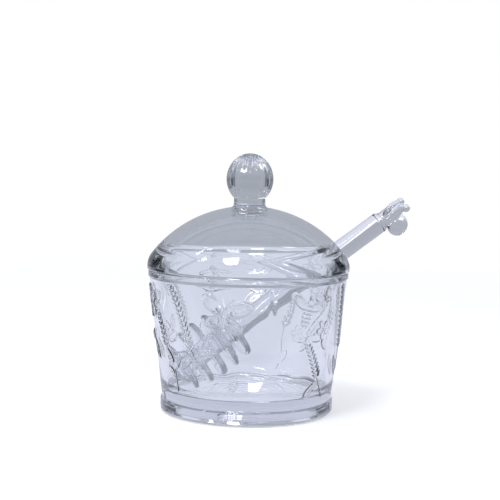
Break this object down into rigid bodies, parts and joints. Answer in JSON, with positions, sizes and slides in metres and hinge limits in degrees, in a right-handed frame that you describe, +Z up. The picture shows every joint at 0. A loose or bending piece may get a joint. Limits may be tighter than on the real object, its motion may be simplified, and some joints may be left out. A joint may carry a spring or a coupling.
{
  "type": "honey pot with lift-off lid and dipper",
  "caption": "Tapered clear-glass honey jar with a domed lift-off lid, fluted ball knob, notch for the handle, and a ringed dipper leaning inside.",
  "frame": {"origin": "centre of the jar's foot ring, on the table", "axes": "+Z up along the jar's axis; +X towards the side where the dipper leans out over the rim, which is turned 18 degrees from +X towards +Y"},
  "size_m": [0.1342, 0.101, 0.1282],
  "materials": {
    "jar_glass": "clear pressed glass, fire-polished, with raised relief",
    "lid_glass": "clear pressed glass, fire-polished",
    "dipper_glass": "clear moulded glass, polished"
  },
  "bodies": {
    "jar": {"jar": "jar_glass"},
    "lid": {"lid": "lid_glass"},
    "dipper": {"dipper": "dipper_glass"}
  },
  "joints": [
    {"name": "lid_lift", "type": "slide", "parent": "jar", "child": "lid", "axis": [0, 0, 1], "range_m": [0, 0.075]},
    {"name": "dipper_draw", "type": "slide", "parent": "jar", "child": "dipper", "axis": [0.7854, 0.2552, 0.564], "range_m": [0, 0.045]}
  ]
}
